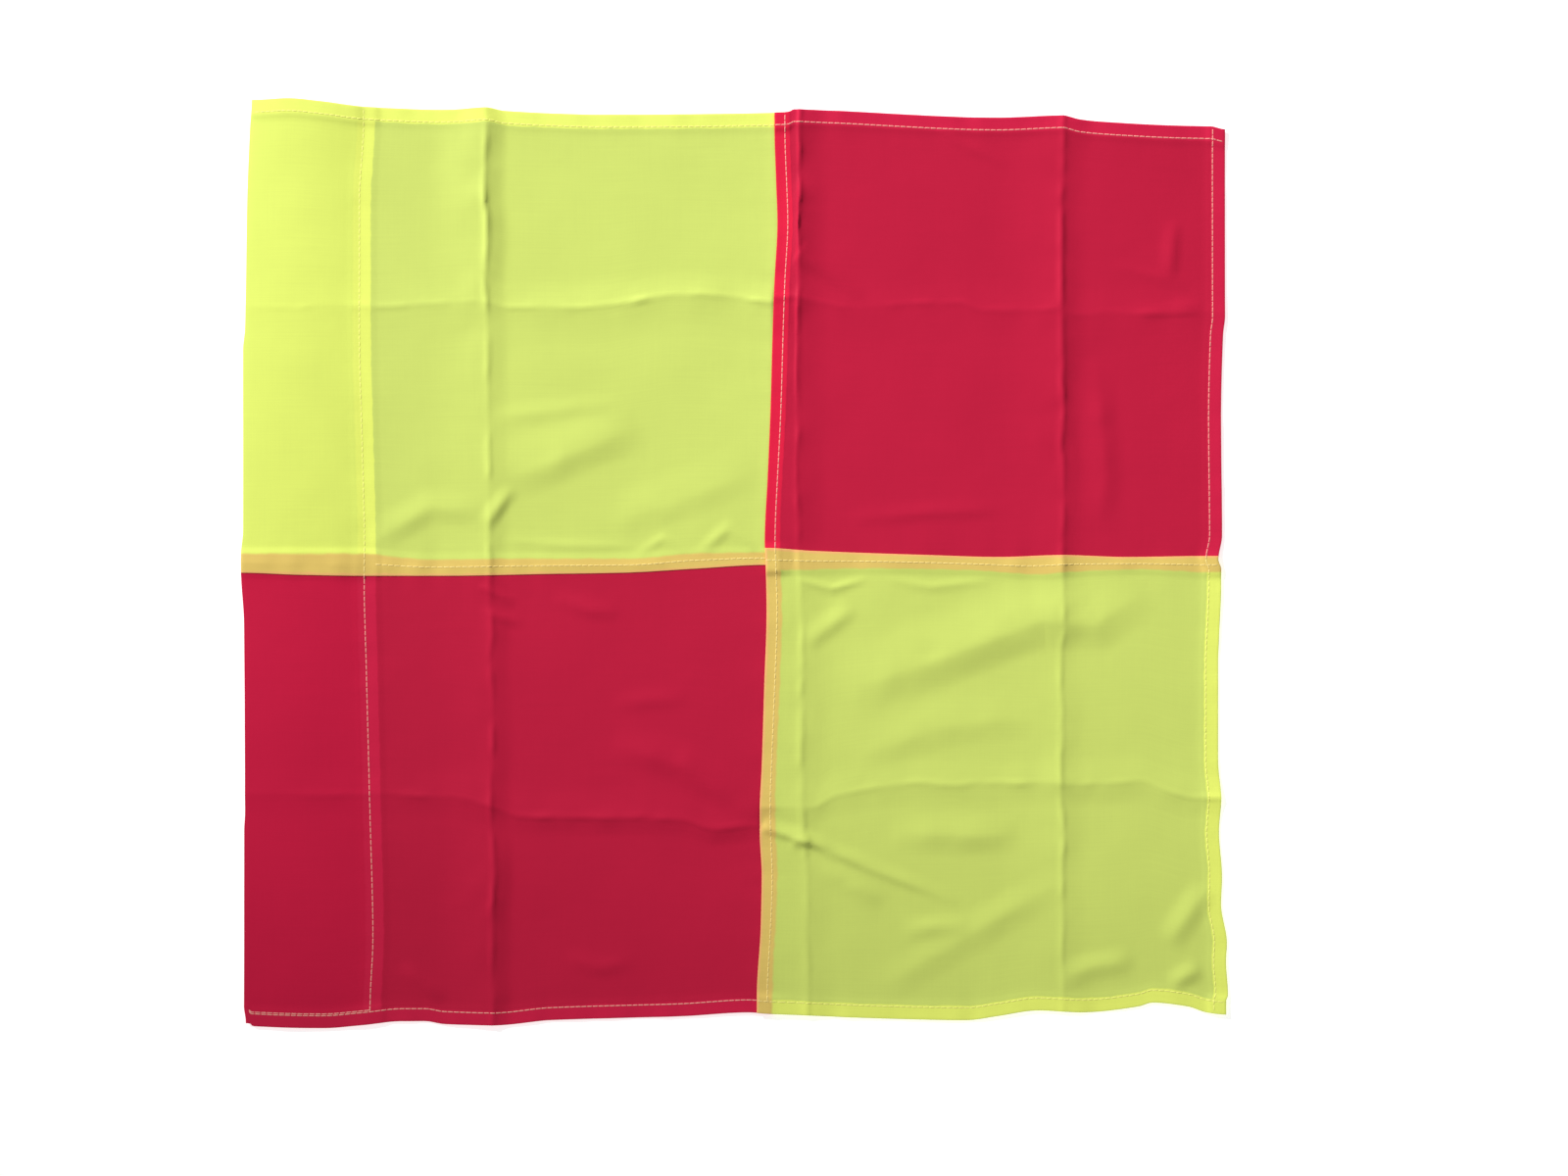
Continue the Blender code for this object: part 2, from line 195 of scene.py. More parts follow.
# A wrinkle: the points that its top runs through, its height, how wide its sides are to the left
# and to the right of its path, and whether it starts blunt.
WRINKLES = [
    ([(-125, 40), (-93, 51), (-48, 70)], 1.3, 22, 13, False),
    ([(-127, 18), (-121, 27), (-112, 39)], 1.2, 7, 5, False),
    ([(-125, 74), (-90, 78), (-57, 83)], 0.5, 8, 7, False),
    ([(-64, 19), (-20, 35), (13, 48)], 0.8, 18, 12, False),
    ([(-186, 10), (-155, 28), (-126, 25)], 0.9, 12, 9, False),
    ([(-50, 4), (-36, 13), (-24, 5)], 0.5, 4, 4, False),
    ([(-18, 5), (-3, 18), (12, 6)], 0.7, 5, 5, False),
    ([(-118, 12), (-85, 9), (-50, 9)], 0.4, 5, 5, False),
    ([(32, 158), (48, 147), (66, 135)], 1.0, 9, 6, True),
    ([(104, 221), (120, 212), (140, 203)], 0.4, 5, 4, False),
    ([(223, 145), (225, 175)], 0.7, 8, 4, False),
    ([(58, 22), (100, 26), (140, 27)], 0.5, 8, 5, False),
    ([(186, 15), (190, 45), (184, 105)], 0.9, 14, 10, False),
    ([(205, 127), (240, 132)], 0.4, 6, 5, False),
    ([(192, 153), (232, 141)], 0.3, 6, 5, False),
    ([(-92, -17), (-74, -24), (-58, -26)], 0.6, 8, 6, False),
    ([(-62, -92), (-26, -103), (15, -132)], 1.4, 15, 11, False),
    ([(-130, -11), (-112, -20)], 0.7, 4, 3.5, False),
    ([(-129, -24), (-108, -31)], 0.7, 4, 3.5, False),
    ([(-170, -205), (-148, -223)], 0.8, 8, 6, False),
    ([(-85, -200), (-69, -206), (-50, -203)], 0.6, 8, 7, False),
    ([(-62, -71), (-24, -69)], 0.5, 8, 7, False),
    ([(14, -134), (44, -144), (61, -152), (116, -174)], 1.5, 7, 4, True),
    ([(28, -143), (40, -141)], 0.8, 5, 5, False),
    ([(56, -66), (107, -48), (157, -29), (184, -31), (210, -14)], 2.0, 26, 16, False),
    ([(35, -42), (62, -22)], 1.0, 9, 7, False),
    ([(80, -138), (112, -139), (145, -139)], 1.0, 14, 11, False),
    ([(38, -150), (76, -174)], 0.9, 8, 9, False),
    ([(86, -187), (120, -184)], 0.9, 8, 8, False),
    ([(72, -218), (124, -187), (168, -161)], 0.8, 12, 12, False),
    ([(221, -195), (242, -164)], 1.3, 10, 9, False),
    ([(165, -212), (182, -206), (204, -202)], 1.1, 9, 9, False),
    ([(222, -215), (238, -206)], 1.2, 8, 7, False),
    ([(32, -8), (50, -13), (68, -8)], 0.7, 3.5, 3.5, False),
    ([(78, -8), (100, -12), (130, -9)], 0.5, 4, 4, False),
    ([(60, -100), (105, -84), (160, -78)], 0.7, 18, 12, False),
]

# How far the two sides of the sleeve stand apart, along its height, in millimetres.
SLEEVE_GAPS = [(-235, 0.1), (-220, 0.6), (-150, 1.4), (100, 1.7), (190, 1.9), (236, 2.9)]

# How a storage crease wanders: how far sideways, and the size of the waves that take it there.
WANDERINGS = [(0.9, 16), (0.3, 5)]
SWELL, SWELL_SIZE = 0.25, 19
LINE_SHARE, LINE_SIZE = 0.3, 7  # the fine line along its top
LINE_SIDES = (3.5, 3.0, 1.0)
UPRIGHT_SEED, LEVEL_SEED, NEXT_SEED = 30, 60, 7

# How a wrinkle fades towards its ends, as shares of its length.
FADE, BLUNT_FADE_IN, BLUNT_FADE_OUT = 0.45, 0.04, 0.9
WRINKLE_SHARPNESS = 0.35
UNEVEN, UNEVEN_SIZE, UNEVEN_SEED = 0.22, 11, 13

# The slack in the laid cloth: the size of its waves, their seed and their height.
SLACK = [(48, 11, 0.32), (17, 12, 0.09)]

# Puckers beside the stitches: their size along the row, and how far they reach from it. Then
# their seed and height at the long seam, the cross seam, the hems, and the sleeve and fly rows.
PUCKER_SIZE, PUCKER_REACH, PUCKER_SLANT = 8, 8, 0.3
SEAM_PUCKERS, CROSS_PUCKERS, HEM_PUCKERS, SIDE_PUCKERS = (21, 0.22), (22, 0.42), (23, 0.32), (24, 0.15)
LIES_FLAT = 0.003  # over how far the hoist cloth's creases fade out at the long seam


def ease(at, points):
    """A smooth curve through the points that never swings past them."""
    places = np.array([p[0] for p in points], float)
    values = np.array([p[1] for p in points], float)
    steps = np.diff(places)
    rates = np.diff(values) / steps
    slopes = np.zeros(len(places))
    same = rates[:-1] * rates[1:] > 0
    slopes[1:-1][same] = 2 * rates[:-1][same] * rates[1:][same] / (rates[:-1] + rates[1:])[same]
    at = np.clip(at, places[0], places[-1])
    i = np.clip(np.searchsorted(places, at) - 1, 0, len(steps) - 1)
    t = (at - places[i]) / steps[i]
    return (
        values[i] * (1 + 2 * t) * (1 - t) ** 2
        + values[i + 1] * t * t * (3 - 2 * t)
        + steps[i] * (slopes[i] * t * (1 - t) ** 2 - slopes[i + 1] * t * t * (1 - t))
    )


def covered(distance, soft):
    """1 where the distance is negative, easing to 0 where it reaches soft."""
    t = np.clip(1 - distance / soft, 0, 1)
    return t * t * (3 - 2 * t)


def shared_out(at, lines, along):
    """What the lines' strays come to at each point, in metres."""
    places = sorted(lines)
    total = np.zeros_like(at)
    for place in places:
        share = np.interp(at, places, [float(place == other) for other in places])
        total += share * ease(along / MM, lines[place])
    return total * MM


def laid(column, x, y):
    """Where a point of the straight flag lies on the floor, as (x, y)."""
    upright = dict(UPRIGHT_STRAYS)
    upright[RIGHT - 2 * HEM] = UPRIGHT_STRAYS[RIGHT]
    level = dict(LEVEL_STRAYS[column])
    level.update({
        BOTTOM: BOTTOM_STRAYS,
        BOTTOM + 2 * HEM: BOTTOM_STRAYS,
        TOP - 2 * HEM: TOP_STRAYS,
        TOP: TOP_STRAYS,
    })
    return x + shared_out(x, upright, y), y + shared_out(y, level, x)


def ripple(x, y, size, seed):
    """Smooth random waves, about size across, from -1 to 1. They repeat after 64 sizes."""
    cells = 64
    grid = np.random.default_rng(seed).uniform(-1, 1, (cells, cells))
    column, row = x / size + cells / 2, y / size + cells / 2
    i, j = np.floor(column).astype(int), np.floor(row).astype(int)
    a, b = column - i, row - j
    a, b = a * a * (3 - 2 * a), b * b * (3 - 2 * b)
    i0, i1, j0, j1 = i % cells, (i + 1) % cells, j % cells, (j + 1) % cells
    low = grid[i0, j0] * (1 - a) + grid[i1, j0] * a
    high = grid[i0, j1] * (1 - a) + grid[i1, j1] * a
    return low * (1 - b) + high * b


def ridge(distance, before, after, sharp):
    """A ridge's section, 1 high, from how far a point is past its top. Its sides are as wide as
    before and after."""
    t = np.clip(1 - np.abs(distance) / np.where(distance < 0, before, after), 0, 1)
    return sharp * t * t + (1 - sharp) * t * t * (3 - 2 * t)


def crease(across, along, top, before, after, sharp, seed):
    """A storage crease that wanders and swells a little, with a fine line along its top."""
    flat = np.zeros_like(along)
    for number, (far, size) in enumerate(WANDERINGS):
        across = across + far * ripple(along, flat, size, seed + number)
    swell = 1 + SWELL * ripple(along, flat, SWELL_SIZE, seed + 2)
    line = LINE_SHARE * (1 + ripple(along, flat, LINE_SIZE, seed + 3)) * ridge(across, *LINE_SIDES)
    return top * (swell * ridge(across, before, after, sharp) + line)


def wrinkle(x, y, path, before, after, blunt):
    """A wrinkle of height 1 along its path, fading out towards its ends."""
    nearest = np.full(x.shape, np.inf)
    side = np.zeros_like(x)
    along = np.zeros_like(x)
    gone = 0.0
    for (ax, ay), (bx, by) in zip(path, path[1:]):
        dx, dy = bx - ax, by - ay
        length = math.hypot(dx, dy)
        t = np.clip(((x - ax) * dx + (y - ay) * dy) / length**2, 0, 1)
        off_x, off_y = x - ax - t * dx, y - ay - t * dy
        off = np.hypot(off_x, off_y)
        closer = off < nearest
        nearest = np.where(closer, off, nearest)
        side = np.where(closer, np.sign(off_x * dy - off_y * dx), side)
        along = np.where(closer, gone + t * length, along)
        gone += length
    fade_in, fade_out = (BLUNT_FADE_IN, BLUNT_FADE_OUT) if blunt else (FADE, FADE)
    fade = np.clip(np.minimum(along / (fade_in * gone), (gone - along) / (fade_out * gone)), 0, 1)
    return fade * (2 - fade) * ridge(side * nearest, before, after, WRINKLE_SHARPNESS)


def relief(column, x, y, lie_x, lie_y, strength):
    """How high the cloth's creases, wrinkles, slack and puckers lift it, in metres, at points of
    the straight flag (x, y) that lie at (lie_x, lie_y)."""
    u, v = x / MM, y / MM
    px, py = lie_x / MM, lie_y / MM
    lift = np.zeros_like(u)
    for number, (place, tops, *section) in enumerate(UPRIGHT_CREASES):
        seed = UPRIGHT_SEED + NEXT_SEED * number
        lift += crease(u - place / MM, v, ease(v, tops), *section, seed)
    for number, (place, tops, *section) in enumerate(LEVEL_CREASES):
        seed = LEVEL_SEED + NEXT_SEED * number
        lift += crease(place / MM - v, u, ease(u, tops), *section, seed)
    for path, top, before, after, blunt in WRINKLES:
        lift += top * wrinkle(px, py, path, before, after, blunt)
    lift *= strength * (1 + UNEVEN * ripple(px, py, UNEVEN_SIZE, UNEVEN_SEED))
    if column == "hoist":
        lift *= covered(x - SEAM + LIES_FLAT / 2, LIES_FLAT)
    for size, seed, top in SLACK:
        lift += top * (1 + ripple(px, py, size, seed))
    to_seam = np.abs(u - SEAM / MM)
    to_cross = np.abs(v)
    to_hem = np.minimum(TOP / MM - v, v - BOTTOM / MM)
    to_side = np.minimum(RIGHT / MM - u, np.abs(u - SLEEVE_ROW / MM))
    for away, along, (seed, top) in (
        (to_seam, v, SEAM_PUCKERS),
        (to_cross, u, CROSS_PUCKERS),
        (to_hem, u, HEM_PUCKERS),
        (to_side, v, SIDE_PUCKERS),
    ):
        puckers = 1 + ripple(along, away * PUCKER_SLANT, PUCKER_SIZE, seed)
        lift += top * puckers * np.exp(-np.abs(away) / PUCKER_REACH)
    return lift * MM


# ---------------------------------------------------------------- cloth turned over at an edge


FOLD_RADIUS = 0.0003
FOLD_STEPS, TUCK_STEPS = 4, 3  # lines around a fold, and around a tucked edge's fold


def spaced(stops):
    """Places from the first stop to the last: each stop is a place and the step from there on."""
    places = []
    for (start, step), (end, _) in zip(stops, stops[1:]):
        count = max(1, round((end - start) / step))
        places += [start + (end - start) * i / count for i in range(count)]
    return places + [stops[-1][0]]


def turned(edge, outward, layer, flap, tuck, step):
    """Rows of cloth beyond an edge: (distance along the cloth, place, layer). Layer 0 is the face,
    1 is turned to the back, -1 is turned to the front, and 0.5 is the raw edge tucked in."""
    if not flap:
        return []
    arc = math.pi * FOLD_RADIUS
    rows = []
    for i in range(1, FOLD_STEPS + 1):
        turn = math.pi * i / FOLD_STEPS
        rows.append((arc * i / FOLD_STEPS, edge + outward * FOLD_RADIUS * math.sin(turn),
                     layer * (1 - math.cos(turn)) / 2))
    count = max(2, round(flap / step))
    for i in range(1, count + 1):
        rows.append((arc + flap * i / count, edge - outward * flap * i / count, layer))
    if tuck:
        inner = edge - outward * flap
        for i in range(1, TUCK_STEPS + 1):
            turn = math.pi * i / TUCK_STEPS
            rows.append((arc + flap + arc * i / TUCK_STEPS,
                         inner - outward * FOLD_RADIUS * math.sin(turn),
                         layer - layer * (1 - math.cos(turn)) / 4))
        for i in (1, 2):
            rows.append((2 * arc + flap + tuck * i / 2, inner + outward * tuck * i / 2, 0.5 * layer))
    return rows


def cut(places, low_turn, high_turn, step):
    """The cloth's lines across one direction, from one cut edge to the other, as arrays of its
    flat length, the place that each line lies at and its layer."""
    low = turned(places[0], -1, *low_turn, step)
    high = turned(places[-1], 1, *high_turn, step)
    rows = [(places[0] - d, p, layer) for d, p, layer in reversed(low)]
    rows += [(p, p, 0.0) for p in places]
    rows += [(places[-1] + d, p, layer) for d, p, layer in high]
    return tuple(np.array(part, float) for part in zip(*rows))


# How an edge is turned over: to which layer, how much of it, and how much of that is tucked in.
NO_TURN = (0, 0, 0)
HEM_TURN = (1, HEM, TUCK)
UNDER_TURN = (1, TUCK, 0)
OVER_TURN = (-1, TUCK, 0)
SLEEVE_TURN = (1, SLEEVE_END - LEFT, STRIP_TUCK)

STEP_WIDTH = 0.0035  # how far the cloth takes to come down from a hem or a lap
SEAM_STEP_WIDTH = 0.009  # and from the hoist cloth's edge, which is under the long seam
BULGE_BLUNTNESS = 0.8  # the open sleeve's arch is a sine to this power
# A part turned to the back has its layers the other way up. Twice would be all the way, and a
# little less keeps its surfaces apart.
UPSIDE_DOWN = 1.8


class Stack:
    """How the layers of cloth lie on each other at points of the straight flag."""

    def __init__(self, column, x, y, sizes):
        step, soft = sizes.layer, STEP_WIDTH
        hems = covered(TOP - HEM - y, soft) + covered(y - BOTTOM - HEM, soft)
        self.lap = covered(np.maximum(y - LAP_HIGH, LAP_LOW - y), soft)
        self.step = step
        self.hem_stack = 2 * step * hems
        self.lap_stack = 3 * step * self.lap
        both = self.hem_stack + self.lap_stack
        if column == "hoist":
            doubled = covered(x - SLEEVE_END, soft)
            strip = covered(np.maximum(x - SLEEVE_END, SLEEVE_END - STRIP - x), soft)
            across = np.clip((x - LEFT) / (SLEEVE_ROW - LEFT), 0, 1)
            bulge = np.sin(math.pi * across) ** BULGE_BLUNTNESS * ease(y / MM, SLEEVE_GAPS) * MM
            self.total = both * (1 + doubled) + step * (doubled + strip) + bulge * sizes.sleeve_open
            self.below = 0 * x
        else:
            hem = covered(RIGHT - HEM - x, soft)
            under = covered(x - SEAM - TUCK, soft)
            self.total = both * (1 + hem + under) + step * (2 * hem + under)
            self.below = covered(x - SEAM_END, SEAM_STEP_WIDTH) * (2 * both + 2 * step)

    def height(self, lift, across_layer, up_layer, lies_under):
        """Height above the floor of cloth in those layers, where the waves lift it by lift."""
        depth = up_layer * (self.hem_stack + self.step * self.lap)
        if lies_under:
            depth = depth + self.lap_stack
        back = np.maximum(across_layer, 0)
        front = np.minimum(across_layer, 0)
        depth = depth * (1 - UPSIDE_DOWN * back) + back * self.total
        depth = front * self.step + depth * (1 + UPSIDE_DOWN * front)
        return lift + self.below + self.total - depth


def surface(column, x, y, across_layer, up_layer, lies_under, sizes):
    """Points of the laid cloth, as an array of (x, y, z)."""
    lie_x, lie_y = laid(column, x, y)
    lift = relief(column, x, y, lie_x, lie_y, sizes.relief) + sizes.clear
    z = Stack(column, x, y, sizes).height(lift, across_layer, up_layer, lies_under)
    return np.stack([lie_x, lie_y, z], -1)


def new_piece(name, points, faces, material):
    mesh = bpy.data.meshes.new(name)
    mesh.from_pydata(points, [], faces)
    mesh.materials.append(material)
    mesh.shade_smooth()
    piece = bpy.data.objects.new(name, mesh)
    bpy.context.scene.collection.objects.link(piece)
    return piece


def new_map(piece, name, places):
    """Gives the piece a map with a place for each of its points."""
    corners = np.empty(len(piece.data.loops), np.int32)
    piece.data.loops.foreach_get("vertex_index", corners)
    layer = piece.data.uv_layers.new(name=name)
    layer.data.foreach_set("uv", places[corners].astype(np.float32).ravel())


def sew_panel(name, column, across, up, lies_under, material, sizes):
    """One cut piece of cloth, folded along its edges and laid out, with its face and its back."""
    flat_x, x, x_layer = across
    flat_y, y, y_layer = up
    (gx, gy), (lx, ly), (fx, fy) = [
        np.meshgrid(a, b) for a, b in ((x, y), (x_layer, y_layer), (flat_x, flat_y))
    ]
    middle = surface(column, gx, gy, lx, ly, lies_under, sizes)
    outward = np.cross(np.gradient(middle, axis=1), np.gradient(middle, axis=0))
    outward *= sizes.cloth / 2 / np.maximum(np.linalg.norm(outward, axis=-1), 1e-12)[..., None]
    points = np.concatenate([(middle + outward).reshape(-1, 3), (middle - outward).reshape(-1, 3)])
    index = np.arange(gx.size).reshape(gx.shape)
    a, b, c, d = index[:-1, :-1], index[:-1, 1:], index[1:, 1:], index[1:, :-1]
    face = np.stack([a, b, c, d], -1).reshape(-1, 4)
    back = face[:, ::-1] + gx.size
    edge = np.concatenate([index[0, :-1], index[:-1, -1], index[-1, :0:-1], index[:0:-1, 0]])
    ahead = np.roll(edge, -1)
    rim = np.stack([edge + gx.size, ahead + gx.size, ahead, edge], -1)
    piece = new_piece(name, points.tolist(), np.concatenate([face, back, rim]).tolist(), material)
    on_edge = np.zeros(2 * gx.size, bool)
    on_edge[edge] = on_edge[edge + gx.size] = True
    ends = np.empty(2 * len(piece.data.edges), np.int32)
    piece.data.edges.foreach_get("vertices", ends)
    piece.data.edges.foreach_set("use_edge_sharp", on_edge[ends].reshape(-1, 2).all(1))
    new_map(piece, "place", np.tile(np.stack([gx, gy], -1).reshape(-1, 2), (2, 1)))
    new_map(piece, "weave", np.tile(np.stack([fx, fy], -1).reshape(-1, 2), (2, 1)))
    flat = (float(flat_x[-1] - flat_x[0]), float(flat_y[-1] - flat_y[0]))
    return piece


def bend_at(piece, fold, low_side):
    """Bakes the piece's placement into its mesh. The piece does not bend over the storage crease; both
    branches do the same.
    """
    if JOINTS[fold]["parent"] == low_side:
        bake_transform(piece)
    else:
        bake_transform(piece)


# ---------------------------------------------------------------- finishes


def tint(red, green, blue):
    """A colour as light, from its 0 to 255 screen values."""
    parts = [c / 255 for c in (red, green, blue)]
    return tuple(p / 12.92 if p <= 0.04045 else ((p + 0.055) / 1.055) ** 2.4 for p in parts)


class Wire:
    """One socket in a finish. Arithmetic on it adds Math nodes."""

    def __init__(self, tree, socket=None):
        self.tree = tree
        self.socket = socket

    def add(self, kind, settings=None, values=None, output=0):
        """Adds a node of that kind, with its settings and its sockets' values or wires."""
        node = self.tree.nodes.new(kind)
        for name, setting in (settings or {}).items():
            setattr(node, name, setting)
        for name, value in (values or {}).items():
            if isinstance(value, Wire):
                self.tree.links.new(value.socket, node.inputs[name])
            else:
                node.inputs[name].default_value = value
        return Wire(self.tree, node.outputs[output]) if node.outputs else None

    def maths(self, operation, *values):
        return self.add("ShaderNodeMath", {"operation": operation}, dict(enumerate(values)))

    def __add__(self, other):
        return self.maths("ADD", self, other)

    __radd__ = __add__

    def __sub__(self, other):
        return self.maths("SUBTRACT", self, other)

    def __rsub__(self, other):
        return self.maths("SUBTRACT", other, self)

    def __mul__(self, other):
        return self.maths("MULTIPLY", self, other)

    __rmul__ = __mul__

    def past(self, edge, soft):
        """0 below the edge and 1 above it, over a soft width."""
        rising = self.maths("MULTIPLY_ADD", self, 1 / soft, 0.5 - edge / soft)
        return rising.maths("MINIMUM", rising.maths("MAXIMUM", rising, 0.0), 1.0)

    def or_(self, other):
        return self.maths("MAXIMUM", self, other)

    def mixed(self, below, above):
        """The colour below where this is 0, and the colour above where it is 1."""
        return self.add("ShaderNodeMix", {"data_type": "RGBA"}, {0: self, 6: below, 7: above}, 2)


def opaque(colour):
    return tuple(colour) + (1.0,)


def new_finish(name):
    material = bpy.data.materials.new(name)
    material.use_nodes = True
    material.node_tree.nodes.clear()
    return material, Wire(material.node_tree)


def close_finish(wire, values):
    """Puts a Principled surface with those values on the finish."""
    shader = wire.add("ShaderNodeBsdfPrincipled", {}, values)
    wire.add("ShaderNodeOutputMaterial", {}, {"Surface": shader})


SOFT_EDGE = 0.0006  # how soft a zone's edge looks through the cloth
LAP_EDGE = 0.001
FAINT_EDGE = 0.0012
WAVER, WAVER_SCALE = 0.0012, 160.0  # how far the zones' edges waver
SLUB_ALONG, SLUB_ACROSS = 25.0, 1600.0  # slubs to a metre along their thread and across it
CLOUD_SCALE, CRINKLE_SCALE = 22.0, 130.0
THREAD_SPACING = 0.00036
TWIST_SPACING = 0.0007


def cloth_finish(name, ground, zones_of):
    """Light woven nylon, in the ground's colour. zones_of gives the zones whose colour differs, in
    the order that they cover each other, from the wires of the cloth's place across and up."""
    material, wire = new_finish(name)
    place = wire.add("ShaderNodeUVMap", {"uv_map": "place"})
    weave = wire.add("ShaderNodeUVMap", {"uv_map": "weave"})
    waver = wire.add("ShaderNodeTexNoise", {}, {"Vector": place, "Scale": WAVER_SCALE, "Detail": 1.0})
    x = wire.add("ShaderNodeSeparateXYZ", {}, {0: place}, 0) + (waver - 0.5) * WAVER
    y = wire.add("ShaderNodeSeparateXYZ", {}, {0: place}, 1) + (waver - 0.5) * WAVER
    along = wire.add("ShaderNodeSeparateXYZ", {}, {0: weave}, 0)
    up = wire.add("ShaderNodeSeparateXYZ", {}, {0: weave}, 1)
    colour = opaque(ground)
    for zone, shade in zones_of(x, y):
        colour = zone.mixed(colour, opaque(shade))
    # Slubs run along the threads both ways, and the dye is a little uneven.
    weft = wire.add("ShaderNodeCombineXYZ", {}, {0: along * SLUB_ALONG, 1: up * SLUB_ACROSS})
    warp = wire.add("ShaderNodeCombineXYZ", {}, {0: along * SLUB_ACROSS, 1: up * SLUB_ALONG})
    weft_slubs = wire.add("ShaderNodeTexNoise", {}, {"Vector": weft, "Scale": 1.0, "Detail": 2.0})
    warp_slubs = wire.add("ShaderNodeTexNoise", {}, {"Vector": warp, "Scale": 1.0, "Detail": 2.0})
    cloudy = wire.add("ShaderNodeTexNoise", {}, {"Vector": place, "Scale": CLOUD_SCALE, "Detail": 3.0})
    shade = (weft_slubs - 0.5) * 0.07 + (warp_slubs - 0.5) * 0.04 + (cloudy - 0.5) * 0.07 + 0.99
    colour = wire.add("ShaderNodeMix", {"data_type": "RGBA", "blend_type": "MULTIPLY"},
                      {0: 1.0, 6: colour, 7: shade}, 2)
    threads = 2 * math.pi / THREAD_SPACING
    woven = wire.maths("SINE", along * threads) * wire.maths("SINE", up * threads)
    crinkle = wire.add("ShaderNodeTexNoise", {},
                       {"Vector": weave, "Scale": CRINKLE_SCALE, "Detail": 3.0})
    height = woven * 0.05 + weft_slubs * 0.12 + crinkle * 0.5
    normal = wire.add("ShaderNodeBump", {}, {"Strength": 0.5, "Distance": 0.0003, "Height": height})
    close_finish(wire, {
        "Base Color": colour,
        "Roughness": (cloudy - 0.5) * 0.15 + 0.6,
        "Specular IOR Level": 0.1,
        "Normal": normal,
    })
    return material


def thread_finish(colours):
    """Twisted sewing thread, which takes up some of the colour of the cloth under it, with painted shade
    in the grooves of its twist.
    """
    material, wire = new_finish("sewing_thread")
    ground = wire.add("ShaderNodeAttribute", {"attribute_name": "ground"}, {}, 2)
    twist = wire.add("ShaderNodeUVMap", {"uv_map": "twist"})
    along = wire.add("ShaderNodeSeparateXYZ", {}, {0: twist}, 0)
    around = wire.add("ShaderNodeSeparateXYZ", {}, {0: twist}, 1)
    strand = wire.maths("SINE", along * (2 * math.pi / TWIST_SPACING) + around * (4 * math.pi))
    colour = ground.mixed(opaque(colours.thread_on_yellow), opaque(colours.thread_on_red))
    # Painted shade: the colour darkens by up to 4% in the grooves of the twist, along the same wave that
    # drives the bump.
    colour = wire.add("ShaderNodeMix", {"data_type": "RGBA", "blend_type": "MULTIPLY"},
                      {0: 1.0, 6: colour, 7: strand * 0.04 + 0.96}, 2)
    normal = wire.add("ShaderNodeBump", {}, {"Strength": 0.5, "Distance": 0.00003, "Height": strand})
    close_finish(wire, {"Base Color": colour, "Roughness": 0.45, "Specular IOR Level": 0.4,
                        "Normal": normal})
    return material


# ---------------------------------------------------------------- sizes and colours to change


class FlagSizes(bpy.types.PropertyGroup):
    """Sizes of the cloth and its sewing."""

    cloth: FloatProperty(name="Cloth", description="Thickness of the nylon", default=0.0001,
                         unit="LENGTH", subtype="DISTANCE", min=0.00005, max=0.001)
    layer: FloatProperty(name="Layer", description="Distance between cloths that lie on each other",
                         default=0.00012, unit="LENGTH", subtype="DISTANCE", min=0.0001, max=0.001)
    clear: FloatProperty(name="Clearance", description="Room under the cloth for the bobbin thread",
                         default=0.0004, unit="LENGTH", subtype="DISTANCE", min=0.0, max=0.002)
    grain: FloatProperty(name="Mesh spacing", description="Width of the cloth mesh's cells",
                         default=0.0021, unit="LENGTH", subtype="DISTANCE", min=0.001, max=0.01)
    relief: FloatProperty(name="Creasing", description="How strong the creases and wrinkles are",
                          default=1.15, subtype="FACTOR", min=0.0, max=2.0)
    sleeve_open: FloatProperty(name="Sleeve opening", description="How far the sleeve stands open",
                               default=1.0, subtype="FACTOR", min=0.0, max=1.5)
    pitch: FloatProperty(name="Stitch pitch", description="Distance from one stitch to the next",
                         default=0.00305, unit="LENGTH", subtype="DISTANCE", min=0.001, max=0.01)
    stitch: FloatProperty(name="Stitch", description="Length of the thread on top in one stitch",
                          default=0.0029, unit="LENGTH", subtype="DISTANCE", min=0.001, max=0.01)
    thread: FloatProperty(name="Thread", description="Thickness of the sewing thread",
                          default=0.00055, unit="LENGTH", subtype="DISTANCE", min=0.0001, max=0.002)


def colour_property(name, description, default):
    return FloatVectorProperty(name=name, description=description, default=default, size=3,
                               subtype="COLOR", min=0.0, max=1.0)


class FlagColours(bpy.types.PropertyGroup):
    """Colours of the cloth, by how many layers lie on each other, of the painted highlight along folded
    yellow edges over red, and of the thread.
    """

    yellow: colour_property("Yellow", "Yellow cloth, one layer", tint(211, 227, 113))
    yellow_double: colour_property("Yellow, doubled", "Yellow cloth on itself", tint(228, 243, 112))
    yellow_triple: colour_property("Yellow hem", "Yellow cloth in three layers", tint(239, 251, 115))
    yellow_on_red: colour_property("Yellow on red", "Yellow cloth over red", tint(232, 201, 108))
    # The folded yellow edge over red gets a painted highlight, peach from the red beneath.
    yellow_fold_highlight: colour_property("Fold on red", "Folded yellow edge over red", tint(246, 190, 118))
    red: colour_property("Red", "Red cloth, one layer", tint(196, 27, 63))
    red_double: colour_property("Red, doubled", "Red cloth on itself", tint(206, 25, 66))
    red_triple: colour_property("Red hem", "Red cloth in three layers", tint(213, 32, 72))
    red_on_yellow: colour_property("Red on yellow", "Red cloth over yellow", tint(229, 31, 68))
    thread_on_yellow: colour_property("Thread on yellow", "Thread over yellow cloth",
                                      tint(255, 255, 140))
    thread_on_red: colour_property("Thread on red", "Thread over red cloth", tint(255, 172, 158))


# ---------------------------------------------------------------- making


# The mesh's steps at edges, at creases and seams, and at the softer level creases.
EDGE_STEP, FINE_STEP = 0.001, 0.0012
CREASE_STEP = FINE_STEP * 1.2
SEAM_STEP, SPLIT_STEP = 0.0011, 0.0015
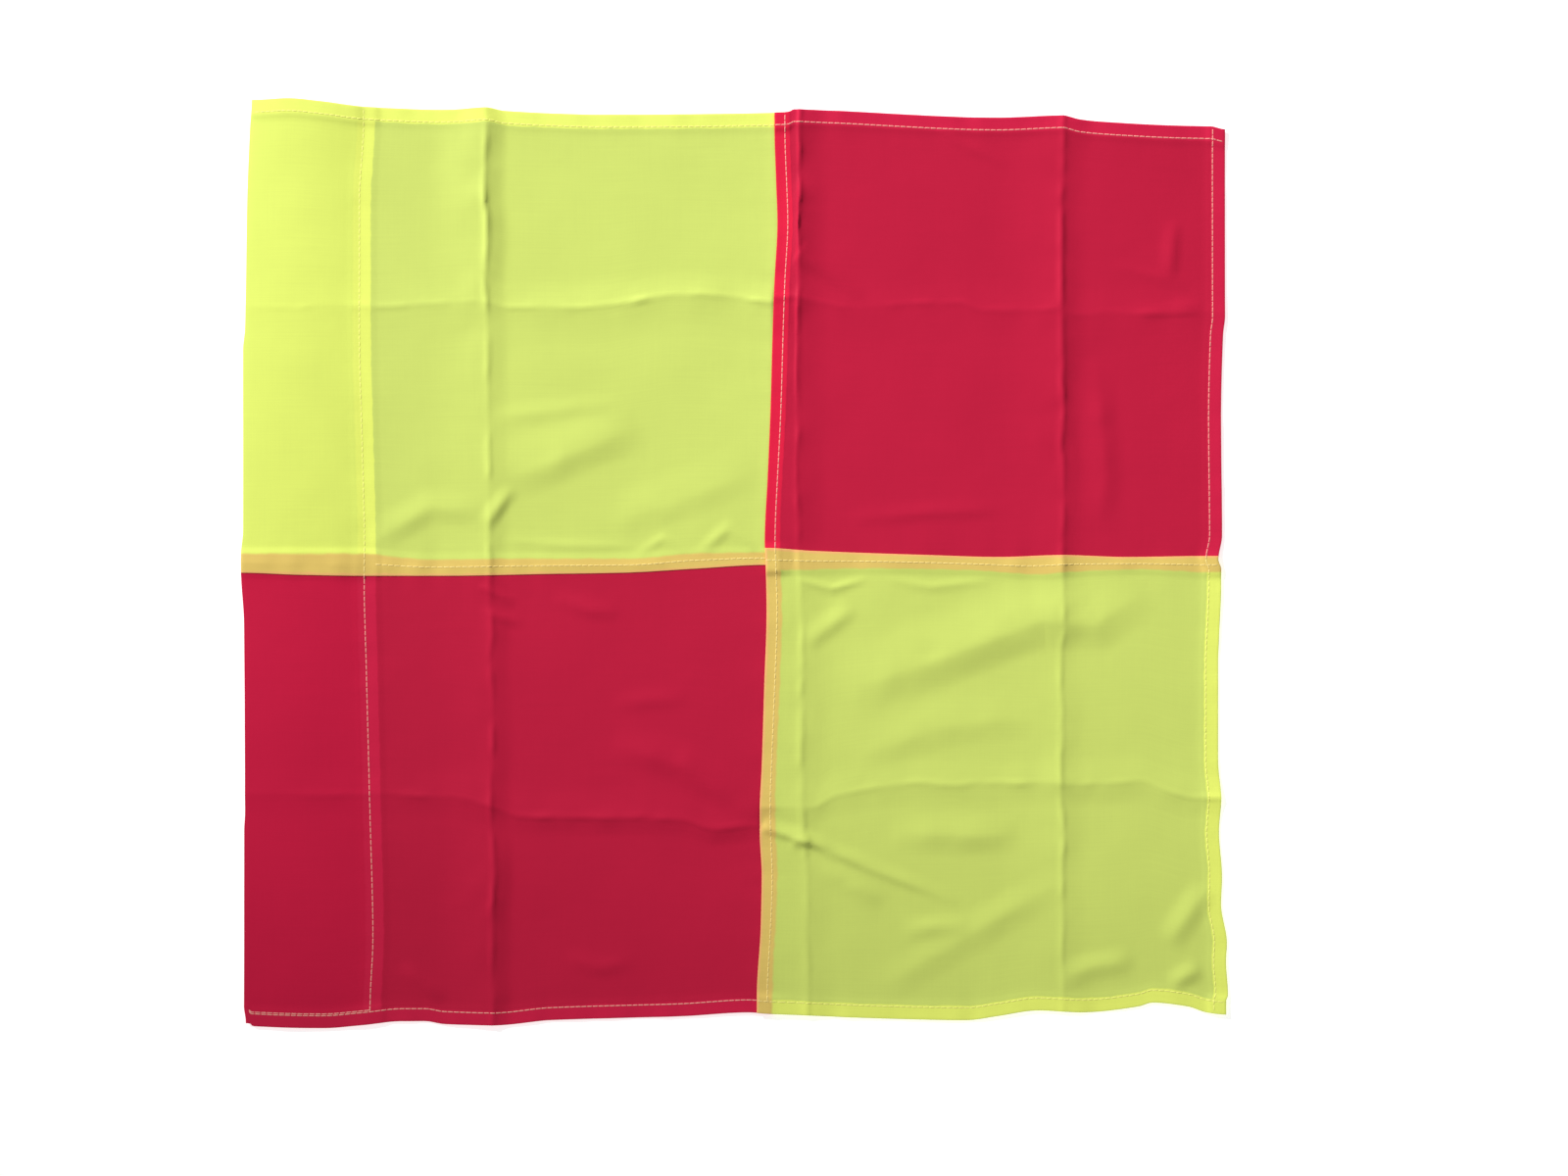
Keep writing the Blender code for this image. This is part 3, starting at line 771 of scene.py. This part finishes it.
# How far those steps go on beside an edge, a crease and the cross seam.
BESIDE_EDGE, BESIDE_CREASE, PAST_CREASE, BESIDE_CROSS = 0.010, 0.010, 0.008, 0.016
DRAPE_LOW = -0.178  # the finer mesh below the lower crease starts here, for its wrinkles


def up_lines(low, high, step):
    """Lines up the flag from low to high, closer at the hems, creases and cross seam."""
    stops = [
        (BOTTOM, EDGE_STEP),
        (BOTTOM + BESIDE_EDGE, step),
        (DRAPE_LOW, CREASE_STEP),
        (LOWER_CREASE + PAST_CREASE, step),
        (-BESIDE_CROSS, FINE_STEP),
        (LAP_LOW, FINE_STEP),
        (LAP_HIGH, FINE_STEP),
        (BESIDE_CROSS, step),
        (UPPER_CREASE - BESIDE_CREASE, CREASE_STEP),
        (UPPER_CREASE + PAST_CREASE, step),
        (TOP - BESIDE_EDGE, EDGE_STEP),
        (TOP, 0),
    ]
    return spaced([stop for stop in stops if low <= stop[0] <= high])


def hoist_lines(step):
    """Lines across the hoist cloth, from the sleeve's fold to its edge under the long seam."""
    return spaced([
        (LEFT, EDGE_STEP),
        (LEFT + 0.004, step),
        (SLEEVE_ROW - 0.008, FINE_STEP),
        (SLEEVE_END + 0.005, step),
        (HOIST_CREASE - 0.009, FINE_STEP),
        (HOIST_CREASE + 0.011, step),
        (SEAM - 0.008, FINE_STEP),
        (SEAM_END, 0),
    ])


def fly_lines(step):
    """Lines across the fly cloth, from the long seam to where it is divided."""
    return spaced([
        (SEAM, SEAM_STEP),
        (SEAM_END + 0.003, FINE_STEP),
        (FLY_CREASE + BESIDE_CREASE, step),
        (SPLIT - 0.006, SPLIT_STEP),
        (SPLIT, 0),
    ])


def end_lines(step):
    """Lines across the end cloth, from where the fly cloth is divided to the fly edge."""
    return spaced([
        (SPLIT, FINE_STEP),
        (END_CREASE + BESIDE_CREASE, step),
        (RIGHT - BESIDE_EDGE, EDGE_STEP),
        (RIGHT, 0),
    ])


FOLD_HIGHLIGHT_WIDTH, SEAM_FOLD_HIGHLIGHT_WIDTH = 0.0008, 0.0007  # width of the painted highlight along a folded yellow edge, over red


def hoist_zones(colours, upper):
    """The zones of the upper, yellow or the lower, red hoist cloth, and their colours."""

    def zones(x, y):
        sleeve = 1 - x.past(SLEEVE_END, SOFT_EDGE)
        strip = sleeve * x.past(SLEEVE_END - STRIP, FAINT_EDGE)
        if upper:
            return [
                (sleeve, colours.yellow_double),
                (strip.or_(y.past(TOP - HEM, SOFT_EDGE)), colours.yellow_triple),
                (1 - y.past(LAP_HIGH, FAINT_EDGE), colours.yellow_on_red),
                # A thin painted highlight along the yellow's folded lower edge over red, peach from the
                # red beneath.
                (1 - y.past(LAP_LOW + FOLD_HIGHLIGHT_WIDTH, SOFT_EDGE), colours.yellow_fold_highlight),
            ]
        return [
            (sleeve, colours.red_double),
            (strip.or_(1 - y.past(BOTTOM + HEM, SOFT_EDGE)), colours.red_triple),
            (y.past(LAP_LOW, SOFT_EDGE), colours.red_on_yellow),
        ]

    return zones


def fly_zones(colours, upper):
    """The zones of the upper, red or the lower, yellow cloth of the fly, and their colours."""

    def zones(x, y):
        lap = 1 - x.past(SEAM_END, LAP_EDGE)
        hem = x.past(RIGHT - HEM, SOFT_EDGE)
        if upper:
            return [
                (hem.or_(y.past(TOP - HEM, SOFT_EDGE)), colours.red_triple),
                (lap, colours.red_on_yellow),
                (1 - y.past(LAP_HIGH, SOFT_EDGE), colours.red_on_yellow),
            ]
        # A thin painted highlight along the yellow's folded edges over red, peach from the red beneath.
        fold = (1 - x.past(SEAM + SEAM_FOLD_HIGHLIGHT_WIDTH, SOFT_EDGE)).or_(
            y.past(LAP_HIGH - FOLD_HIGHLIGHT_WIDTH, SOFT_EDGE))
        return [
            (hem.or_(1 - y.past(BOTTOM + HEM, SOFT_EDGE)), colours.yellow_triple),
            (lap.or_(y.past(LAP_LOW, FAINT_EDGE)), colours.yellow_on_red),
            (fold, colours.yellow_fold_highlight),
        ]

    return zones


class FLAG_OT_hoist_cloth(bpy.types.Operator):
    """Sews the yellow and the red cloth next to the pole, with the sleeve that they make"""

    bl_idname = "flag.hoist_cloth"
    bl_label = "Hoist cloth"

    def execute(self, context):
        sizes, colours = context.scene.flag_sizes, context.scene.flag_colours
        step = sizes.grain
        across = cut(hoist_lines(step), SLEEVE_TURN, OVER_TURN, step)
        upper = cut(up_lines(LAP_LOW, TOP, step), UNDER_TURN, HEM_TURN, step)
        lower = cut(up_lines(BOTTOM, LAP_HIGH, step), HEM_TURN, OVER_TURN, step)
        yellow = cloth_finish("yellow_hoist_nylon", colours.yellow, hoist_zones(colours, True))
        red = cloth_finish("red_hoist_nylon", colours.red, hoist_zones(colours, False))
        piece = sew_panel("yellow_hoist_cloth", "hoist", across, upper, False, yellow, sizes)
        bend_at(piece, "hoist_fold", "hoist")
        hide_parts("yellow_pole_sleeve", "yellow_upper_hoist_panel",
                    "yellow_upper_middle_panel")
        piece = sew_panel("red_hoist_cloth", "hoist", across, lower, True, red, sizes)
        bend_at(piece, "hoist_fold", "hoist")
        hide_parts("red_pole_sleeve", "red_lower_hoist_panel", "red_lower_middle_panel")
        return {"FINISHED"}


class FLAG_OT_fly_cloth(bpy.types.Operator):
    """Sews the red and the yellow cloth at the flag's free end"""

    bl_idname = "flag.fly_cloth"
    bl_label = "Fly cloth"

    def execute(self, context):
        sizes, colours = context.scene.flag_sizes, context.scene.flag_colours
        step = sizes.grain
        inner = cut(fly_lines(step), UNDER_TURN, NO_TURN, step)
        outer = cut(end_lines(step), NO_TURN, HEM_TURN, step)
        upper = cut(up_lines(LAP_LOW, TOP, step), OVER_TURN, HEM_TURN, step)
        lower = cut(up_lines(BOTTOM, LAP_HIGH, step), HEM_TURN, UNDER_TURN, step)
        red = cloth_finish("red_fly_nylon", colours.red, fly_zones(colours, True))
        yellow = cloth_finish("yellow_fly_nylon", colours.yellow, fly_zones(colours, False))
        for name, across, up, under, finish, slot, nodes in (
            ("red_fly_cloth", inner, upper, True, red, "red_cloth",
             ("red_upper_seam_panel", "red_upper_fly_panel")),
            ("yellow_fly_cloth", inner, lower, False, yellow, "yellow_cloth",
             ("yellow_lower_seam_panel", "yellow_lower_fly_panel")),
            ("red_end_cloth", outer, upper, True, red, "red_cloth", ("red_upper_end_panel",)),
            ("yellow_end_cloth", outer, lower, False, yellow, "yellow_cloth",
             ("yellow_lower_end_panel",)),
        ):
            piece = sew_panel(name, "fly", across, up, under, finish, sizes)
            if across is inner:
                bend_at(piece, "fly_fold", "middle")
            else:
                bend_at(piece, "end_fold", "fly")
            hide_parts(*nodes)
        return {"FINISHED"}


BAND_REDNESS = 0.35  # how much of the thread's colour on red it has on yellow over red
PRESSED = 0.45  # the thread's thickness, as a share of its width
TUBE_SIDES = 6
UPWARD = (0.0, 0.0, 1.0)
# A stitch's height off the cloth along its length, in thread radii: its ends dip into the cloth.
STITCH_ARCH = (-0.5, 0.05, 0.2, 0.25, 0.2, 0.05, -0.5)


def over_red(column, x, y):
    """1 where stitches lie on red cloth, less on yellow over red, and 0 on yellow."""
    band = (y > LAP_LOW) & (y < LAP_HIGH)
    if column == "fly":
        band = band | ((x < SEAM_END) & (y < LAP_LOW))
        red = y > LAP_HIGH
    else:
        red = y < LAP_LOW
    return np.where(band, BAND_REDNESS, np.where(red, 1.0, 0.0))


def tubes(line, radius):
    """Threads pressed flat along the lines, each a row of rings and its two ends."""
    forward = np.gradient(line, axis=1)
    forward /= np.linalg.norm(forward, axis=-1)[..., None]
    side = np.cross(forward, UPWARD)
    side /= np.linalg.norm(side, axis=-1)[..., None]
    top = np.cross(side, forward)
    turn = 2 * math.pi * np.arange(TUBE_SIDES) / TUBE_SIDES
    across, up = np.cos(turn)[:, None], PRESSED * np.sin(turn)[:, None]
    rings = across * side[..., None, :] + up * top[..., None, :]
    points = line[..., None, :] + radius * rings
    index = np.arange(points[..., 0].size).reshape(points.shape[:3])
    low, high = index[:, :-1], index[:, 1:]
    walls = np.stack([low, np.roll(low, -1, 2), np.roll(high, -1, 2), high], -1).reshape(-1, 4)
    ends = [*index[:, 0, ::-1].tolist(), *index[:, -1].tolist()]
    return points, walls.tolist() + ends


def sew_rows(name, rows, material, sizes):
    """Rows of lockstitches: the needle thread on the face and the bobbin thread behind."""
    points, faces, ground, twist = [], [], [], []
    arch = np.array(STITCH_ARCH) * sizes.thread / 2
    reach = np.linspace(-0.5, 0.5, len(arch))
    for column, start, end in rows:
        start, way = np.array(start), np.array(end) - np.array(start)
        length = math.hypot(*way)
        count = round(length / sizes.pitch)
        pitch = length / count
        at = (np.arange(count) + 0.5)[:, None] * pitch + reach * sizes.stitch
        x, y = (start[i] + way[i] * at / length for i in (0, 1))
        none = np.zeros_like(x)
        face = surface(column, x, y, none, none, False, sizes)
        back = face.copy()
        back[..., 2] = relief(column, x, y, face[..., 0], face[..., 1], sizes.relief) + sizes.clear
        for sign, line in ((1, face), (-1, back)):
            line[..., 2] += sign * (arch + sizes.cloth / 2)
            made, shells = tubes(line, sizes.thread / 2)
            faces += [[i + len(points) for i in shell] for shell in shells]
            points += made.reshape(-1, 3).tolist()
            ground += np.repeat(over_red(column, x, y).ravel(), TUBE_SIDES).tolist()
            around = np.arange(TUBE_SIDES) / TUBE_SIDES
            along, around = np.meshgrid(at.ravel(), around, indexing="ij")
            twist += np.stack([along.ravel(), around.ravel()], -1).tolist()
    piece = new_piece(name, points, faces, material)
    piece.data.attributes.new("ground", "FLOAT", "POINT").data.foreach_set("value", ground)
    new_map(piece, "twist", np.array(twist))
    return piece


class FLAG_OT_stitches(bpy.types.Operator):
    """Sews the rows of stitches along the hems, the seams and the sleeve"""

    bl_idname = "flag.stitches"
    bl_label = "Stitches"

    def execute(self, context):
        sizes, colours = context.scene.flag_sizes, context.scene.flag_colours
        thread = thread_finish(colours)
        start, fly_row = LEFT + ROW_START, RIGHT - HEM_ROW
        top, bottom = TOP - HEM_ROW, BOTTOM + HEM_ROW
        fixed = (
            ("sleeve_seam_stitches", "hoist", ("sleeve_seam_thread",),
             [("hoist", (SLEEVE_ROW, bottom), (SLEEVE_ROW, TOP - ROW_END))]),
            ("sleeve_shut_stitches", "hoist", ("sleeve_shut_thread",),
             [("hoist", (start, bottom + SHUT_GAP), (SLEEVE_ROW, bottom + SHUT_GAP))]),
            ("long_seam_stitches", "middle", ("long_seam_thread",),
             [("fly", (SEAM_ROW, bottom), (SEAM_ROW, TOP - ROW_END))]),
            ("fly_hem_stitches", "end", ("fly_hem_thread",),
             [("fly", (fly_row, BOTTOM + ROW_END), (fly_row, TOP - ROW_END))]),
        )
        for name, body, nodes, rows in fixed:
            piece = sew_rows(name, rows, thread, sizes)
            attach(piece, body)
            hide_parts(*nodes)
        for row, hoist_y, fly_y, first in (
            ("top_hem", top, top, start),
            ("bottom_hem", bottom, bottom, start),
            ("cross_seam", SEAM_GAP, -SEAM_GAP, SLEEVE_END),
        ):
            seam_nodes = ("cross_seam_thread_seam",) if row == "cross_seam" else ()
            spans = (
                ("hoist", "hoist", first, SEAM, hoist_y, "hoist_fold", "hoist", "middle",
                 (f"{row}_thread_hoist", f"{row}_thread_middle")),
                ("fly", "fly", SEAM, SPLIT, fly_y, "fly_fold", "middle", "fly",
                 (f"{row}_thread_fly",) + seam_nodes),
                ("end", "fly", SPLIT, RIGHT - ROW_END, fly_y, "end_fold", "fly", "end",
                 (f"{row}_thread_end",)),
            )
            for part, column, x0, x1, y, fold, low_side, high_side, nodes in spans:
                piece = sew_rows(f"{row}_stitches_{part}", [(column, (x0, y), (x1, y))], thread,
                                 sizes)
                bend_at(piece, fold, low_side)
                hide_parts(*nodes)
        return {"FINISHED"}


FLOOR_REACH = 20.0
FLOOR_GLOW = 0.6
SKY = 0.36
WINDOW_POWER = 1445.0
WINDOW_CONE = math.radians(10.6)
WINDOW_SOFTNESS = 0.22
WINDOW_PLACE = (-3.2, 3.1, 2.45)
WINDOW_TARGET = (0.28, 0.135, 0)
WINDOW_STRETCH = (2.2, 1, 1)
LENS, SENSOR = 70, 36
VIEW_WIDTH = 0.8  # of the floor, in the picture
VIEW_MIDDLE = (0.0255, -0.0125)


def turned_to(thing, target):
    """Points a light at a place, with its own sideways axis as level with the flag as it can be."""
    ahead = (Vector(target) - thing.location).normalized()
    upward = ahead.cross((-1, 0, 0)).normalized()
    sideways = ahead.cross(upward)
    return Matrix((sideways, upward, -ahead)).transposed().to_euler()


class FLAG_OT_stage(bpy.types.Operator):
    """Lays the pale floor, and sets the soft light and the camera"""

    bl_idname = "flag.stage"
    bl_label = "Stage"

    def execute(self, context):
        scene = context.scene
        material, wire = new_finish("pale_floor")
        close_finish(wire, {"Base Color": (0.9, 0.9, 0.9, 1.0), "Roughness": 0.9,
                            "Specular IOR Level": 0.1, "Emission Color": (1.0, 1.0, 1.0, 1.0),
                            "Emission Strength": FLOOR_GLOW})
        far = FLOOR_REACH
        corners = [(-far, -far, 0), (far, -far, 0), (far, far, 0), (-far, far, 0)]
        new_piece("floor", corners, [(0, 1, 2, 3)], material)
        world = bpy.data.worlds.new("studio")
        world.use_nodes = True
        background = world.node_tree.nodes["Background"]
        background.inputs["Color"].default_value = (1.0, 1.0, 1.0, 1.0)
        background.inputs["Strength"].default_value = SKY
        scene.world = world
        data = bpy.data.lights.new("window", "SPOT")
        data.energy = WINDOW_POWER
        data.spot_size = WINDOW_CONE
        data.spot_blend = 1.0
        data.shadow_soft_size = WINDOW_SOFTNESS
        window = bpy.data.objects.new("window", data)
        window.location = WINDOW_PLACE
        window.rotation_euler = turned_to(window, WINDOW_TARGET)
        window.scale = WINDOW_STRETCH
        scene.collection.objects.link(window)
        camera = bpy.data.cameras.new("camera")
        camera.lens = LENS
        camera.sensor_width = SENSOR
        view = bpy.data.objects.new("camera", camera)
        view.location = (*VIEW_MIDDLE, VIEW_WIDTH * LENS / SENSOR)
        scene.collection.objects.link(view)
        scene.camera = view
        scene.view_settings.view_transform = "Standard"
        return {"FINISHED"}


class FLAG_PT_panel(bpy.types.Panel):
    """The flag's pieces, sizes and colours"""

    bl_idname = "FLAG_PT_panel"
    bl_label = "Quartered flag"
    bl_space_type = "VIEW_3D"
    bl_region_type = "UI"
    bl_category = "Flag"

    def draw(self, context):
        for operator in OPERATORS:
            self.layout.operator(operator.bl_idname)
        for group in (context.scene.flag_sizes, context.scene.flag_colours):
            for name in type(group).__annotations__:
                self.layout.prop(group, name)


OPERATORS = (FLAG_OT_hoist_cloth, FLAG_OT_fly_cloth, FLAG_OT_stitches, FLAG_OT_stage)
CLASSES = (FlagSizes, FlagColours) + OPERATORS + (FLAG_PT_panel,)


def register():
    for made in CLASSES:
        bpy.utils.register_class(made)
    bpy.types.Scene.flag_sizes = PointerProperty(type=FlagSizes)
    bpy.types.Scene.flag_colours = PointerProperty(type=FlagColours)


def unregister():
    del bpy.types.Scene.flag_sizes
    del bpy.types.Scene.flag_colours
    for made in reversed(CLASSES):
        bpy.utils.unregister_class(made)


def main():
    register()
    bpy.ops.flag.hoist_cloth()
    bpy.ops.flag.fly_cloth()
    bpy.ops.flag.stitches()
    bpy.ops.flag.stage()
    bpy.context.view_layer.update()


if __name__ == "__main__":
    main()
